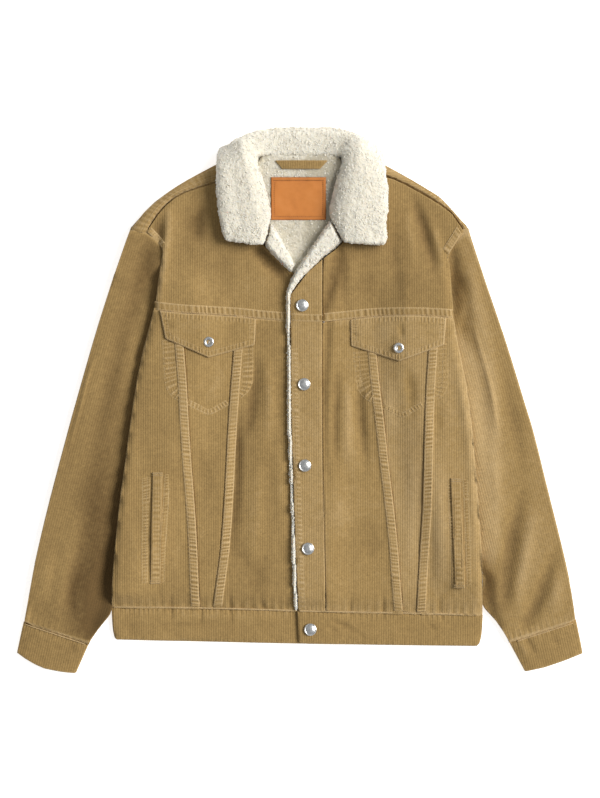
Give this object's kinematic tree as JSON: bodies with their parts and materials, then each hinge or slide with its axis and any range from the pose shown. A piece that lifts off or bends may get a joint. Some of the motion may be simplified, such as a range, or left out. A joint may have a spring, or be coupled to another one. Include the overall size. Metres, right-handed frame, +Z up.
{
  "type": "sherpa lined jacket",
  "caption": "Corduroy trucker jacket with sherpa lining and collar, pointed chest flaps and welt pockets, buttoned and laid flat on its back.",
  "frame": {"origin": "middle of the jacket's outline on the surface that it lies on", "axes": "+X to the wearer's left, +Y up to the collar, +Z up out of the jacket's front"},
  "size_m": [0.7662, 0.7389, 0.0475],
  "materials": {
    "corduroy": "tan cotton corduroy with fine upright wales",
    "sherpa": "cream curled sherpa pile",
    "patch_leather": "plain orange-tan leather, satin",
    "button_metal": "silver coloured metal, polished on the high edges"
  },
  "bodies": {
    "root": {"back_panel": "corduroy", "back_yoke": "corduroy", "front_yoke_right": "corduroy", "front_yoke_left": "corduroy", "front_side_right": "corduroy", "front_side_left": "corduroy", "front_gore_right": "corduroy", "front_gore_left": "corduroy", "front_centre_right": "corduroy", "front_centre_left": "corduroy", "placket": "corduroy", "waistband_back": "corduroy", "waistband_right": "corduroy", "waistband_left": "corduroy", "sleeve_top_right": "corduroy", "sleeve_top_left": "corduroy", "sleeve_under_right": "corduroy", "sleeve_under_left": "corduroy", "cuff_right": "corduroy", "cuff_left": "corduroy", "collar": "sherpa", "neck_lining": "sherpa", "facing_right": "sherpa", "facing_left": "sherpa", "hanger_loop": "corduroy", "neck_patch": "patch_leather", "pocket_flap_right": "corduroy", "pocket_flap_left": "corduroy", "welt_right": "corduroy", "welt_left": "corduroy", "placket_button_1": "button_metal", "placket_button_2": "button_metal", "placket_button_3": "button_metal", "placket_button_4": "button_metal", "placket_button_5": "button_metal", "flap_button_right": "button_metal", "flap_button_left": "button_metal"}
  },
  "joints": []
}
